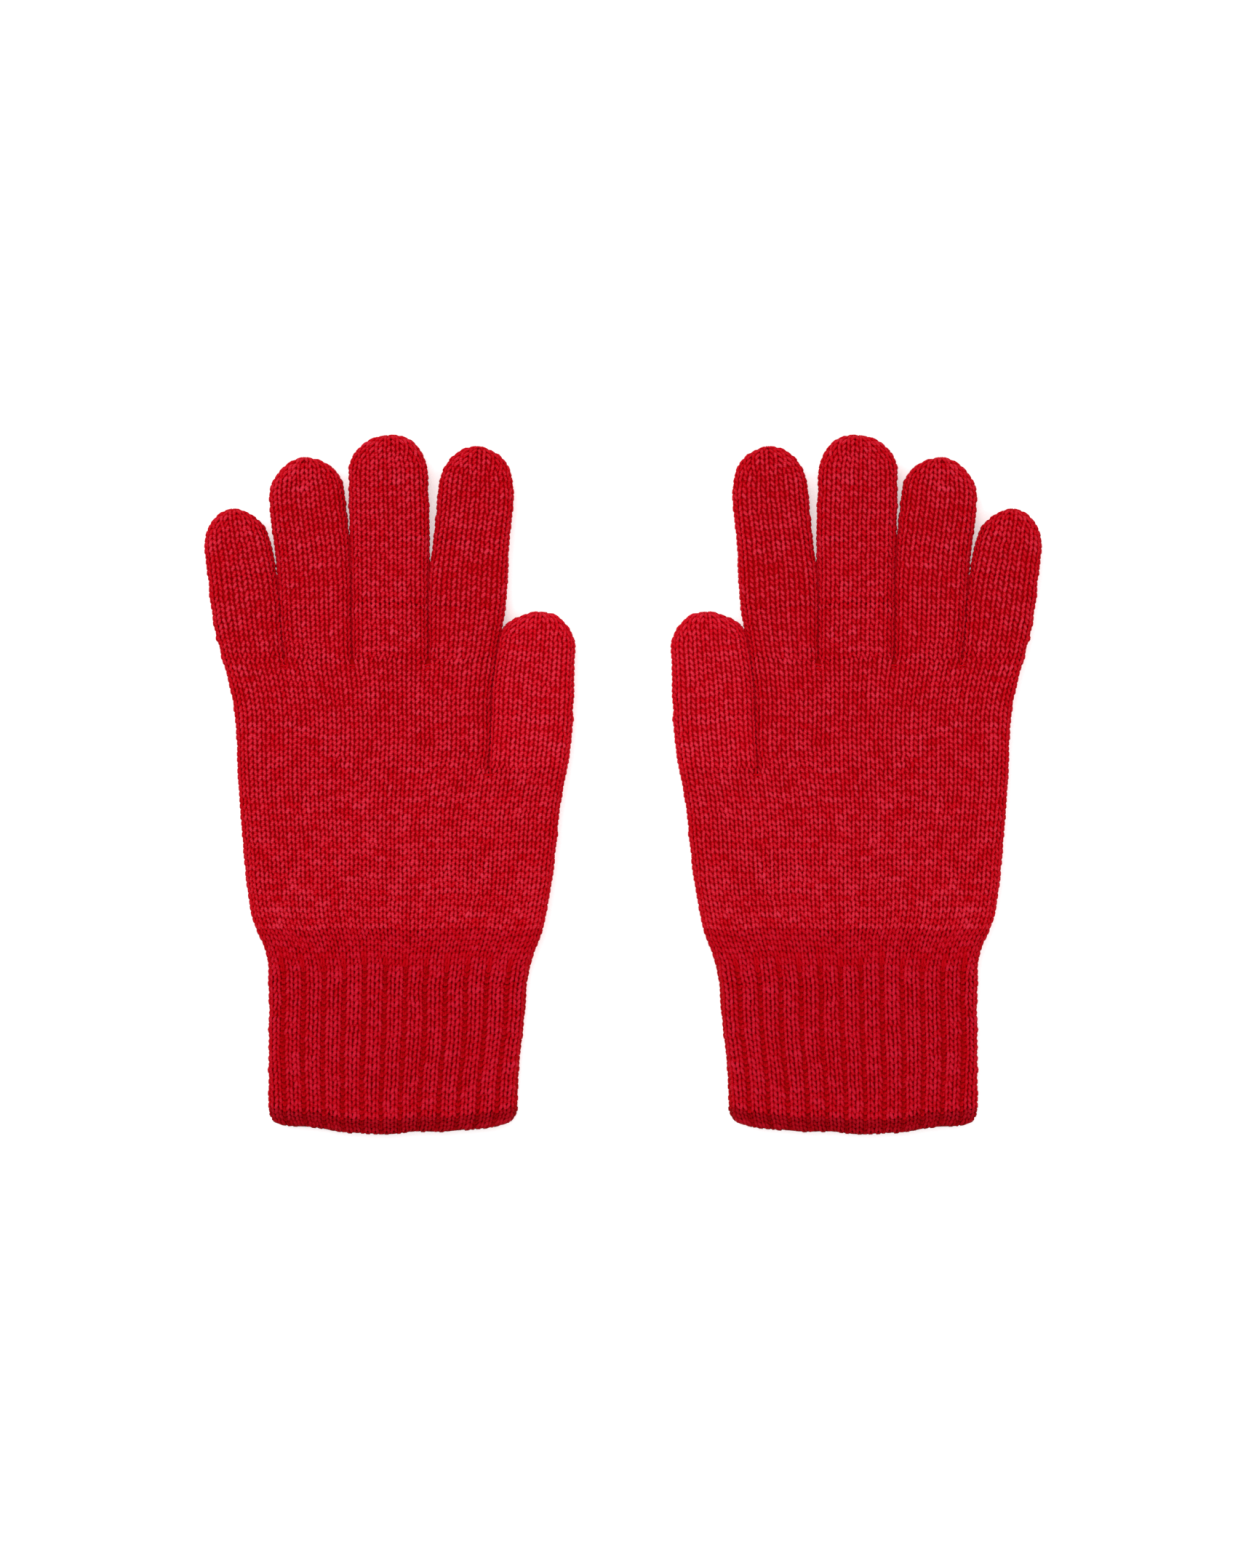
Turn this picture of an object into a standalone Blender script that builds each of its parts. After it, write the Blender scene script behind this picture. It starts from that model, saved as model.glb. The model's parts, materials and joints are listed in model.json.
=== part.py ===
"""A pair of seamless knitted gloves, laid flat side by side with their fingers along +Y.

Each glove is knitted in sections, one after the other: four finger tubes, the palm across their
roots, the thumb tube, the palm below the thumb, a ribbed cuff and a closed welt at its mouth. A few
fork stitches close the hole at each crotch. Every section here is a hollow shell of knitted fabric,
open where a hand goes in, and the finger tubes are cut at the folds that a hand bends them at.

The world is in metres with +Z up. It stands on z = 0, and its origin is under the middle of the pair.
A glove is drawn in its own plane as (u, v): u runs from its middle finger towards its thumb, and v
along the fingers.
"""

import math
from dataclasses import dataclass

import bmesh
import bpy
from mathutils import Vector

# Driving dimensions
GLOVE_OFFSET = 0.0828  # from the middle of the pair to the middle finger of each glove
THICKNESS = 0.012  # both layers of a glove, slightly filled out
WALL = 0.002  # one layer of knitted fabric
GAP = 0.0004  # between neighbouring sections

LENGTH = 0.250  # from the lowest point of the cuff to the tip of the middle finger
HEM_BOW = 0.0040  # how much lower the mouth hangs in the middle than at its sides
WELT_HEIGHT = 0.0052
WRIST = -0.0600  # v of the fold between cuff and palm
THUMB_CROTCH = Vector((0.0346, 0.0057))
THUMB_FOLD_ANGLE = math.radians(-35)  # of the thumb's fold line, from +u
THUMB_FOLD_START = 0.0066  # along the crease, from the thumb's crotch to its fold line

# Half widths of the hand and cuff at stations of v: the little finger's side, then the thumb's
LITTLE_SIDE = (
    (-0.1250, 0.0440),
    (-0.0700, 0.0440),
    (-0.0600, 0.0457),
    (-0.0420, 0.0503),
    (0.0060, 0.0549),
    (0.0300, 0.0565),
)
THUMB_SIDE = (
    (-0.1250, 0.0448),
    (-0.0700, 0.0486),
    (-0.0600, 0.0520),
    (-0.0420, 0.0560),
    (-0.0200, 0.0584),
    (0.0060, 0.0624),
)

# Shape of the solids
SIDE_STEP = 0.013  # length of one straight facet along a side
TIP_STEPS = 8  # facets round a fingertip
HEM_STEPS = 6  # facets along the bowed mouth
ROUND_SEGMENTS = 2  # facets of a folded edge, above and below
EDGE_BAND = 0.0002  # upright band left in the middle of a folded edge
OVERRUN = 0.001  # how far a hollow runs past an open end
CORNER_RADIUS = 0.005  # of the mouth's two corners
FOLD_REACH = 0.1  # more than the thumb's fold line is long
HALVINGS = 40  # enough to place a point on it exactly

# Fork stitches
FORK_LENGTH = 0.0085
FORK_THICKNESS = 0.0012
FORK_WIDTH = 0.0028
FORK_DROP = 0.0070  # from a crotch to the middle of its fork stitches
FORK_CHAMFER = (0.3, 0.5)  # shares of its half length and half width cut off each corner

LEFT, RIGHT = -1, 1

YARN_RED = (0.440, 0.005, 0.013)
YARN_RED_RIB = (0.400, 0.004, 0.012)
YARN_RED_WELT = (0.300, 0.003, 0.008)
YARN_ROUGHNESS = 0.85


@dataclass(frozen=True)
class Finger:
    """A finger or thumb tube: (u, v) at the middle of its root and at its tip, its flat widths, and
    how far along it each fold lies."""

    name: str
    root: Vector
    tip: Vector
    root_width: float
    tip_width: float
    folds: tuple

    @property
    def length(self):
        return (self.tip - self.root).length

    @property
    def along(self):
        return (self.tip - self.root).normalized()

    @property
    def across(self):
        return Vector((self.along.y, -self.along.x))

    def half_width(self, station):
        """The tube widens smoothly from its root over the first third of its length."""
        share = min(max(3 * station / self.length, 0), 1)
        share = share * share * (3 - 2 * share)
        return (self.root_width + (self.tip_width - self.root_width) * share) / 2

    def middle(self, station):
        return self.root + self.along * station

    def side(self, station, hand, inset=0):
        """The point of the tube's outline on one side: hand is 1 towards the thumb, -1 away from it."""
        return self.middle(station) + self.across * hand * (self.half_width(station) - inset)


KNUCKLE = 0.0070  # from the crotches to the fold at a finger's root
LITTLE = Finger(
    "little",
    Vector((-0.0495, 0.0446)),
    Vector((-0.0566, 0.0980)),
    0.0221,
    0.0224,
    (KNUCKLE, 0.0225, 0.0380),
)
RING = Finger(
    "ring",
    Vector((-0.0259, 0.0446)),
    Vector((-0.0310, 0.1165)),
    0.0236,
    0.0260,
    (KNUCKLE, 0.0300, 0.0510),
)
MIDDLE = Finger(
    "middle",
    Vector((-0.0004, 0.0450)),
    Vector((-0.0009, 0.1250)),
    0.0262,
    0.0270,
    (KNUCKLE, 0.0330, 0.0560),
)
INDEX = Finger(
    "index",
    Vector((0.0260, 0.0452)),
    Vector((0.0313, 0.1212)),
    0.0254,
    0.0260,
    (KNUCKLE, 0.0310, 0.0530),
)
THUMB = Finger(
    "thumb",
    Vector((0.0488, 0.0057)),
    Vector((0.0530, 0.0619)),
    0.0274,
    0.0250,
    (THUMB_FOLD_START, 0.0310),
)
FINGERS = (LITTLE, RING, MIDDLE, INDEX)
SEGMENTS = ("base", "middle", "end")


def smooth_width(stations, at):
    """The half width at v = at, on a smooth curve through the stations."""
    places = [v for v, _ in stations]
    last = len(stations) - 2
    index = next((i for i in range(last + 1) if at <= places[i + 1]), last)
    (v0, w0), (v1, w1) = stations[index], stations[index + 1]

    def slope(i):
        before, after = stations[max(i - 1, 0)], stations[min(i + 1, last + 1)]
        return (after[1] - before[1]) / (after[0] - before[0])

    t = (at - v0) / (v1 - v0)
    rise = (v1 - v0) * ((t - 2) * t + 1) * t * slope(index) + (v1 - v0) * (t - 1) * t * t * slope(index + 1)
    return w0 + (w1 - w0) * t * t * (3 - 2 * t) + rise


def steps(start, end, length):
    """Evenly spaced values from start to end, no further apart than length."""
    count = max(1, math.ceil(abs(end - start) / length))
    return [start + (end - start) * i / count for i in range(count + 1)]


def hand_side(stations, hand, start, end, inset):
    """Points along one side of the hand or cuff, between two values of v."""
    return [Vector((hand * (smooth_width(stations, v) - inset), v)) for v in steps(start, end, SIDE_STEP)]


def flagged(*runs):
    """Joins runs of (points, soft) into an outline: soft says that the edge from a point to the next
    is a folded side, and not a cut."""
    return [(point, soft) for points, soft in runs for point in points]


def tube_outline(finger, start, end, inset=0):
    """The outline of a finger tube between two stations. With no end it runs to the fingertip."""
    closed = end is None
    radius = finger.tip_width / 2
    stop = finger.length - radius if closed else end
    stations = steps(start, stop, SIDE_STEP)
    up = [finger.side(s, -1, inset) for s in stations]
    down = [finger.side(s, 1, inset) for s in reversed(stations)]
    if not closed:
        return flagged((up[:-1], True), (up[-1:], False), (down[:-1], True), (down[-1:], False))
    centre = finger.middle(stop)
    turns = [math.pi * i / TIP_STEPS for i in range(1, TIP_STEPS)]
    tip = [
        centre + (finger.along * math.sin(turn) - finger.across * math.cos(turn)) * (radius - inset)
        for turn in turns
    ]
    return flagged((up, True), (tip, True), (down[:-1], True), (down[-1:], False))


def crease_edge(v):
    """Where the crease between the palm and the thumb lies at v."""
    top = INDEX.side(0, 1)
    share = (v - THUMB_CROTCH.y) / (top.y - THUMB_CROTCH.y)
    return THUMB_CROTCH.x + (top.x - THUMB_CROTCH.x) * share


def upper_palm_outline(inset=0, overrun=0):
    """The palm across the four finger roots, with a short stub of each finger up to its fold."""
    low = THUMB_CROTCH.y + GAP / 2 - overrun
    stub = KNUCKLE - GAP / 2 + overrun
    little_edge = hand_side(LITTLE_SIDE, -1, low, LITTLE_SIDE[-1][0], inset)
    runs = [(little_edge, True), ([LITTLE.side(0, -1, inset)], True)]
    for finger, following in zip(FINGERS, FINGERS[1:] + (None,)):
        runs.append(([finger.side(stub, -1, inset)], False))
        runs.append(([finger.side(stub, 1, inset), finger.side(0, 1, inset)], True))
        if following is None:
            continue
        crotch = (finger.side(0, 1) + following.side(0, -1)) / 2
        runs.append(([crotch - Vector((0, GAP + inset)), following.side(0, -1, inset)], True))
    thumb_edge = [
        Vector((crease_edge(v) - GAP - inset, v)) for v in steps(INDEX.root.y - SIDE_STEP, low, SIDE_STEP)
    ]
    runs += [(thumb_edge[:-1], True), (thumb_edge[-1:], False)]
    return flagged(*runs)


def thumb_fold_line(shift=0):
    """A point near the crease on the thumb's fold line, shifted towards the thumb's tip, and the
    line's direction towards the outside."""
    along = Vector((math.cos(THUMB_FOLD_ANGLE), math.sin(THUMB_FOLD_ANGLE)))
    away = Vector((-along.y, along.x))
    return THUMB.side(THUMB_FOLD_START, -1) + away * shift, along


def thumb_fold_outer(shift=0, inset=0):
    """Where the shifted fold line meets the outer side of the hand, found by halving."""
    start, along = thumb_fold_line(shift)
    low, high = 0, FOLD_REACH
    for _ in range(HALVINGS):
        middle = (low + high) / 2
        point = start + along * middle
        inside = point.x < smooth_width(THUMB_SIDE, point.y) - inset
        low, high = (middle, high) if inside else (low, middle)
    return start + along * low


def thumb_fold_inner(shift=0, inset=0):
    """Where the shifted fold line meets the thumb's side along the crease."""
    start, along = thumb_fold_line(shift)
    short = (THUMB.side(0, -1, inset) - start).dot(THUMB.across)
    return start + along * (short / along.dot(THUMB.across))


def lower_palm_outline(inset=0, overrun=0):
    """The palm below the thumb's crotch, with the short root of the thumb up to its fold line."""
    low, high = WRIST + GAP / 2 - overrun, THUMB_CROTCH.y - GAP / 2 + overrun
    little_edge = hand_side(LITTLE_SIDE, -1, low, high, inset)
    inner_root = Vector((THUMB.side(0, -1, inset).x, high))
    shift = overrun - GAP / 2
    outer_fold = thumb_fold_outer(shift, inset)
    thumb_edge = hand_side(THUMB_SIDE, 1, outer_fold.y, low, inset)
    return flagged(
        (little_edge[:-1], True),
        (little_edge[-1:], False),
        ([inner_root], True),
        ([thumb_fold_inner(shift, inset)], False),
        ([outer_fold], True),
        (thumb_edge[1:-1], True),
        (thumb_edge[-1:], False),
    )


def thumb_base_outline(inset=0, overrun=0):
    """The thumb from its fold line to the fold at its middle."""
    shift = GAP / 2 - overrun
    stop = THUMB.folds[1] - GAP / 2 + overrun
    inner = thumb_fold_inner(shift, inset)
    outer = thumb_fold_outer(shift, inset)
    first = (inner - THUMB.root).dot(THUMB.along)
    up = [THUMB.side(s, -1, inset) for s in steps(first, stop, SIDE_STEP)]
    down = [THUMB.side(s, 1, inset) for s in reversed(steps(0, stop, SIDE_STEP))]
    return flagged(
        ([inner], True),
        (up[1:-1], True),
        (up[-1:], False),
        (down, True),
        ([outer], False),
    )


def hem(u):
    """v of the mouth's edge at u: lowest in the middle."""
    return -LENGTH / 2 + HEM_BOW * (u / LITTLE_SIDE[0][1]) ** 2


def bowed(height, inset, hand_from):
    """Points along the bowed mouth, height above it, from one side of the cuff to the other."""
    spans = [hand_from * (1 - 2 * i / HEM_STEPS) for i in range(HEM_STEPS + 1)]
    widths = {-1: LITTLE_SIDE[0][1] - inset, 1: THUMB_SIDE[0][1] - inset}
    reach = [span * widths[1 if span > 0 else -1] for span in spans]
    return [Vector((u, hem(u) + height)) for u in reach]


def cuff_outline(inset=0, overrun=0):
    """The ribbed cuff, from the welt to the wrist."""
    across = bowed(WELT_HEIGHT + GAP / 2 - overrun, inset, 1)
    high = WRIST - GAP / 2 + overrun
    little_edge = hand_side(LITTLE_SIDE, -1, across[-1].y, high, inset)
    thumb_edge = hand_side(THUMB_SIDE, 1, high, across[0].y, inset)
    return flagged(
        (little_edge[:-1], True),
        (little_edge[-1:], False),
        (thumb_edge[:-1], True),
        (across[:-1], False),
    )


def welt_outline(inset=0, overrun=0):
    """The closed welt along the cuff's mouth, with rounded corners."""
    high = bowed(WELT_HEIGHT - GAP / 2 + overrun, inset, -1)
    low = bowed(-overrun, inset, 1)
    rounding = 0 if overrun else CORNER_RADIUS
    for corner, inward in ((0, -1), (-1, 1)):
        low[corner] = low[corner] + Vector((inward * rounding / 3, rounding / 6))
    return flagged((high[:-1], False), (high[-1:], True), (low[:-1], False), (low[-1:], True))


def slab(outline, low, high):
    """A closed slab over an outline, with its folded sides rounded above and below."""
    shape = bmesh.new()
    corners = [shape.verts.new((point.x, point.y, low)) for point, _ in outline]
    floor = shape.faces.new(corners)
    grown = bmesh.ops.extrude_face_region(shape, geom=[floor], use_keep_orig=True)
    lifted = [item for item in grown["geom"] if isinstance(item, bmesh.types.BMVert)]
    bmesh.ops.translate(shape, vec=(0, 0, high - low), verts=lifted)
    above = {}
    for corner in corners:
        upright = next(edge for edge in corner.link_edges if edge.other_vert(corner) in lifted)
        above[corner] = upright.other_vert(corner)
    rims = []
    for index, (_, soft) in enumerate(outline):
        if soft:
            ends = corners[index], corners[(index + 1) % len(corners)]
            rims.append(shape.edges.get(ends))
            rims.append(shape.edges.get([above[end] for end in ends]))
    bmesh.ops.recalc_face_normals(shape, faces=shape.faces)
    if not rims:
        return shape
    bmesh.ops.bevel(
        shape,
        geom=rims,
        offset=(high - low) / 2 - EDGE_BAND / 2,
        segments=ROUND_SEGMENTS,
        profile=0.5,
        affect="EDGES",
        material=-1,
        clamp_overlap=False,
    )
    return shape


def placed(outline, side):
    """An outline moved into the world for the left or right glove, which mirror each other."""
    return [
        (Vector((side * (GLOVE_OFFSET - point.x), point.y)), soft) for point, soft in outline
    ]


def yarn_material(name, colour):
    material = bpy.data.materials.new(name)
    material.use_nodes = True
    shader = material.node_tree.nodes["Principled BSDF"]
    shader.inputs["Base Color"].default_value = (*colour, 1)
    shader.inputs["Roughness"].default_value = YARN_ROUGHNESS
    shader.inputs["Metallic"].default_value = 0
    return material


def add_object(name, shape, pivot, colour=None):
    """Makes a mesh object whose origin is at its body's pivot. With no colour it is a hidden cutter."""
    bmesh.ops.translate(shape, vec=-pivot.matrix_world.translation, verts=shape.verts)
    mesh = bpy.data.meshes.new(name)
    shape.to_mesh(mesh)
    shape.free()
    made = bpy.data.objects.new(name, mesh)
    made.parent = pivot
    bpy.context.scene.collection.objects.link(made)
    if colour is None:
        made.hide_render = True
        made.display_type = "WIRE"
        return made
    mesh.materials.append(yarn_material(f"{name}_knit", colour))
    mesh.shade_smooth()
    mesh.set_sharp_from_angle(angle=math.radians(40))
    return made


def add_shell(name, outer, hollow, side, pivot, colour):
    """A hollow knitted section: the slab over one outline, less the slab over its hollow's."""
    shell = add_object(name, slab(placed(outer, side), 0, THICKNESS), pivot, colour)
    inside = slab(placed(hollow, side), WALL, THICKNESS - WALL)
    cutter = add_object(f"{name}_hollow", inside, pivot)
    cut = shell.modifiers.new("hollow", "BOOLEAN")
    cut.operation = "DIFFERENCE"
    cut.solver = "EXACT"
    cut.object = cutter
    return shell


def add_pivot(name, place, side, parent=None, height=THICKNESS):
    """An empty at a body's joint, on the fold line at the top of the fabric."""
    pivot = bpy.data.objects.new(name, None)
    bpy.context.scene.collection.objects.link(pivot)
    world = Vector((side * (GLOVE_OFFSET - place.x), place.y, height))
    pivot.parent = parent
    pivot.location = world - (parent.matrix_world.translation if parent else Vector())
    bpy.context.view_layer.update()
    return pivot


def add_finger(glove, finger, side, hand_pivot):
    """The three segments of a finger, each on the empty of its own fold."""
    pivot = hand_pivot
    ends = finger.folds[1:] + (None,)
    for segment, start, end in zip(SEGMENTS, finger.folds, ends):
        name = f"{glove}_{finger.name}_{segment}"
        pivot = add_pivot(f"{name}_fold", finger.middle(start), side, pivot)
        stop = None if end is None else end - GAP / 2
        beyond = None if end is None else end + OVERRUN
        outer = tube_outline(finger, start + GAP / 2, stop)
        hollow = tube_outline(finger, start - OVERRUN, beyond, WALL)
        add_shell(name, outer, hollow, side, pivot, YARN_RED)


def add_thumb(glove, side, hand_pivot):
    """The thumb: its base, which opens from the palm along a slanted fold, and its end."""
    fold_middle = (thumb_fold_line()[0] + thumb_fold_outer()) / 2
    pivot = add_pivot(f"{glove}_thumb_base_fold", fold_middle, side, hand_pivot)
    base = thumb_base_outline()
    add_shell(f"{glove}_thumb_base", base, thumb_base_outline(WALL, OVERRUN), side, pivot, YARN_RED)
    fold = THUMB.folds[1]
    pivot = add_pivot(f"{glove}_thumb_end_fold", THUMB.middle(fold), side, pivot)
    end = tube_outline(THUMB, fold + GAP / 2, None)
    hollow = tube_outline(THUMB, fold - OVERRUN, None, WALL)
    add_shell(f"{glove}_thumb_end", end, hollow, side, pivot, YARN_RED)


def add_palm(glove, side, pivot):
    """The two palm sections, which stay together."""
    upper, lower = upper_palm_outline(), lower_palm_outline()
    upper_hollow, lower_hollow = upper_palm_outline(WALL, OVERRUN), lower_palm_outline(WALL, OVERRUN)
    add_shell(f"{glove}_upper_palm", upper, upper_hollow, side, pivot, YARN_RED)
    add_shell(f"{glove}_lower_palm", lower, lower_hollow, side, pivot, YARN_RED)


def add_cuff(glove, side, hand_pivot):
    """The ribbed cuff and its welt, which fold up together at the wrist."""
    pivot = add_pivot(f"{glove}_cuff_fold", Vector((0, WRIST)), side, hand_pivot)
    add_shell(f"{glove}_cuff", cuff_outline(), cuff_outline(WALL, OVERRUN), side, pivot, YARN_RED_RIB)
    welt, mouth = welt_outline(), welt_outline(WALL, OVERRUN)
    add_shell(f"{glove}_cuff_welt", welt, mouth, side, pivot, YARN_RED_WELT)


def fork_places():
    """(name, crotch) of each crotch that fork stitches close."""
    pairs = zip(FINGERS, FINGERS[1:])
    found = [(f"{a.name}_{b.name}", (a.side(0, 1) + b.side(0, -1)) / 2) for a, b in pairs]
    return found + [("thumb", THUMB_CROTCH)]


def add_fork_stitches(glove, side, pivot):
    """A short bar of tight stitches under each crotch, lying on the fabric."""
    low = THICKNESS + GAP
    for name, crotch in fork_places():
        middle = crotch - Vector((0, FORK_DROP))
        half = Vector((FORK_LENGTH / 2, FORK_WIDTH / 2))
        short, low_end = half.x * (1 - FORK_CHAMFER[0]), half.y * (1 - FORK_CHAMFER[1])
        quarter = [Vector((short, half.y)), Vector((half.x, low_end))]
        corners = []
        for across, up in ((1, 1), (1, -1), (-1, -1), (-1, 1)):
            turned = [Vector((corner.x * across, corner.y * up)) for corner in quarter]
            corners += turned if across == up else turned[::-1]
        bar = [(middle + corner, False) for corner in corners]
        shape = slab(placed(bar, side), low, low + FORK_THICKNESS)
        add_object(f"{glove}_fork_stitches_{name}", shape, pivot, YARN_RED_RIB)


def add_glove(glove, side):
    """One whole glove, on an empty at the middle of its palm, where it stands on the table."""
    hand = add_pivot(f"{glove}_glove", Vector((0, 0)), side, height=0)
    add_palm(glove, side, hand)
    add_cuff(glove, side, hand)
    for finger in FINGERS:
        add_finger(glove, finger, side, hand)
    add_thumb(glove, side, hand)
    add_fork_stitches(glove, side, hand)


def main():
    for old in list(bpy.data.objects):
        bpy.data.objects.remove(old)
    add_glove("left", LEFT)
    add_glove("right", RIGHT)


main()
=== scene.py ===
"""The looks of a pair of plain seamless knitted gloves, lying flat side by side.

Each glove is knitted from real loops of yarn: every course is one closed ring of plied yarn that runs
round the tube of fabric, and its loops reach over those of the course before. Fingers are knitted
first, from their tips down, then the palm, the thumb's root, the ribbed cuff and its tight welt. A thin
felted layer lies inside the loops and closes the small holes between them. It is a dark sheet, coloured
with the painted shade that lies deep between the loops.

A glove is described in its own plane: u runs from the middle finger towards the thumb, v along the
fingers and z up, in metres. Both gloves come from one set of loops, and mirror each other.
"""

import json
import logging
import math
from dataclasses import dataclass, field
from enum import Enum
from functools import cache

import bmesh
import bpy
import numpy as np
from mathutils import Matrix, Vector


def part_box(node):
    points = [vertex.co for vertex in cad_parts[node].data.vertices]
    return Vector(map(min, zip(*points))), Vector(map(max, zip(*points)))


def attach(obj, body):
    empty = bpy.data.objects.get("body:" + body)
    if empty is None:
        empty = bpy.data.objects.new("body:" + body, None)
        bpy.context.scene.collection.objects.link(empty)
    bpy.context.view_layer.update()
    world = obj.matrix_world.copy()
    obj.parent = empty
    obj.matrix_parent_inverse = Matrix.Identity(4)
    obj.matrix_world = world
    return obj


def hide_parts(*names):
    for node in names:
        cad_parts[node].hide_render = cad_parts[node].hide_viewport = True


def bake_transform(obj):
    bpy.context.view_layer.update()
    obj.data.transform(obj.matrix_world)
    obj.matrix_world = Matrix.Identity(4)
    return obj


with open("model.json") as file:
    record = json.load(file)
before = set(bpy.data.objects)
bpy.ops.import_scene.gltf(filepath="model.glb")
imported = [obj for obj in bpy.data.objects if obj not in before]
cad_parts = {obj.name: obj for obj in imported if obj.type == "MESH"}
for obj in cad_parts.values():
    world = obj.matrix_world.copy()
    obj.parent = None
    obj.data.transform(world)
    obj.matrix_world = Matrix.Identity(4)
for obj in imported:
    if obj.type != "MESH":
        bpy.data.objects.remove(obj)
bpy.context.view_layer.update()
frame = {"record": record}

logging.basicConfig(level=logging.INFO, format="%(message)s")
LOG = logging.getLogger("gloves")

Colour = tuple[float, float, float]
Number = float | np.ndarray
JOINTS = {joint["name"]: joint for joint in frame["record"]["behaviour"]["joints"]}
GLOVE_OFFSET = JOINTS["right_wrist_fold"]["pos_m"][0]
WRIST = JOINTS["left_wrist_fold"]["pos_m"][1]
FOLD_HEIGHT = JOINTS["left_wrist_fold"]["pos_m"][2]
FINGER_ROOTS = 0.0448  # v of the crotches between the fingers
THUMB_CROTCH = (0.0346, 0.0057)
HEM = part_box("left_cuff_welt")[0][1]  # v of the lowest point of the mouth
AROUND = 512  # samples round a form
ROWS_PER_COURSE = 3  # samples along a form
SKIN = 0.00122  # from the middle of the fabric to the crests of its loops
EDGE = 0.00062  # from the fabric's folded edges to the middle of its side loops
TIP_START = 0.25  # the course where the felted layer starts in a closed tip
TINY = 1e-12


class Side(Enum):
    """Which hand a glove is for. The two mirror each other."""

    LEFT = -1.0
    RIGHT = 1.0

    @property
    def word(self) -> str:
        """The side's name, as the bodies and nodes have it."""
        return self.name.lower()

    def place(self, points: np.ndarray) -> np.ndarray:
        """Moves points from a glove's own plane into the world.

        Args:
            points: (u, v, z) in the last axis.

        Returns:
            The same points as world (x, y, z).
        """
        placed = points.copy()
        placed[..., 0] = self.value * (GLOVE_OFFSET - points[..., 0])
        return placed


class Rib(Enum):
    """How the wales of a fabric alternate. Its value is how many wales repeat."""

    PLAIN = 0
    TWO_BY_ONE = 3


@dataclass(frozen=True)
class Curve:
    """A smooth curve through a few stations, level beyond its ends."""

    stations: tuple[tuple[float, float], ...]

    def at(self, where: Number) -> Number:
        """The curve's value.

        Args:
            where: places along the stations' first coordinate.

        Returns:
            The second coordinate at each place.
        """
        place, value = np.array(self.stations).T
        slope = np.gradient(value, place)
        i = np.clip(np.searchsorted(place, where) - 1, 0, len(place) - 2)
        span = place[i + 1] - place[i]
        t = np.clip((where - place[i]) / span, 0, 1)
        rise = t * (1 - t) * span * ((1 - t) * slope[i] - t * slope[i + 1])
        return value[i] + (value[i + 1] - value[i]) * t * t * (3 - 2 * t) + rise


def smooth(share: Number) -> Number:
    """Eases from 0 to 1, level at both ends."""
    t = np.clip(share, 0, 1)
    return t * t * (3 - 2 * t)


def unit(vectors: np.ndarray) -> np.ndarray:
    """The vectors of the last axis, made one long."""
    return vectors / np.maximum(np.linalg.norm(vectors, axis=-1, keepdims=True), TINY)


def tangents(ring: np.ndarray) -> np.ndarray:
    """Which way a closed ring of points runs at each of them."""
    return unit(np.roll(ring, -1, 0) - np.roll(ring, 1, 0))


@dataclass(frozen=True)
class Section:
    """A flat tube cut across: how thick it is and how its two folded sides are rounded."""

    left: float
    right: float
    half: float  # half the thickness between the middles of its two layers
    rounding: float  # how far in from each side it is rounded
    crown: float = 0.0  # extra height in its middle

    def outline(self) -> np.ndarray:
        """The closed outline, evenly spaced from the left fold over the top and back beneath.

        Returns:
            AROUND points (u, z).
        """
        reach = (self.right - self.left) / 2
        turn = np.linspace(0, math.pi, AROUND)
        across = -reach * np.cos(turn)
        rounding = min(self.rounding, reach * 0.999)
        edge = np.clip((np.abs(across) - (reach - rounding)) / rounding, 0, 1)
        lift = self.half * np.sqrt(1 - edge**2)
        crowned = lift * (1 + self.crown / self.half * (1 - (across / reach) ** 2))
        middle = self.half + SKIN
        u = np.concatenate([across, across[::-1][1:]]) + (self.left + self.right) / 2
        z = np.concatenate([middle + crowned, (middle - lift)[::-1][1:]])
        steps = np.hypot(np.diff(u), np.diff(z))
        length = np.concatenate([[0], np.cumsum(steps)])
        even = np.arange(AROUND) / AROUND * length[-1]
        return np.stack([np.interp(even, length, u), np.interp(even, length, z)], 1)


class Form:
    """The middle layer of a tube of fabric, looked up by course and by the share of the way round."""

    def __init__(self, rows: np.ndarray, lead: int = 0) -> None:
        """Takes the form's rows.

        Args:
            rows: (rows, AROUND, 3) points, with ROWS_PER_COURSE rows to each course.
            lead: how many courses of them come before the first.
        """
        self.lead = lead
        along = np.gradient(rows, axis=0)
        around = np.roll(rows, -1, 1) - np.roll(rows, 1, 1)
        self.rows = rows
        self.normals = unit(np.cross(along, around))
        self.girth = np.linalg.norm(np.roll(rows, -1, 1) - rows, axis=2).sum(1)

    def look(self, course: np.ndarray, share: np.ndarray) -> tuple[np.ndarray, np.ndarray]:
        """Points and outward normals of the form.

        Args:
            course: how many courses along.
            share: how far round, where 1 is the whole way.

        Returns:
            The points and the normals.
        """
        row = np.clip((course + self.lead) * ROWS_PER_COURSE, 0, len(self.rows) - 1.001)
        column = (share % 1.0) * AROUND
        i, j = row.astype(int), column.astype(int) % AROUND
        s, t = (row - i)[..., None], (column - np.floor(column))[..., None]
        k = (j + 1) % AROUND
        found = []
        for table in (self.rows, self.normals):
            low = table[i, j] * (1 - t) + table[i, k] * t
            high = table[i + 1, j] * (1 - t) + table[i + 1, k] * t
            found.append(low * (1 - s) + high * s)
        return found[0], found[1]

    def girth_at(self, course: float) -> float:
        """How long the way round is at a course."""
        row = (course + self.lead) * ROWS_PER_COURSE
        return float(np.interp(row, np.arange(len(self.girth)), self.girth))


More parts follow.
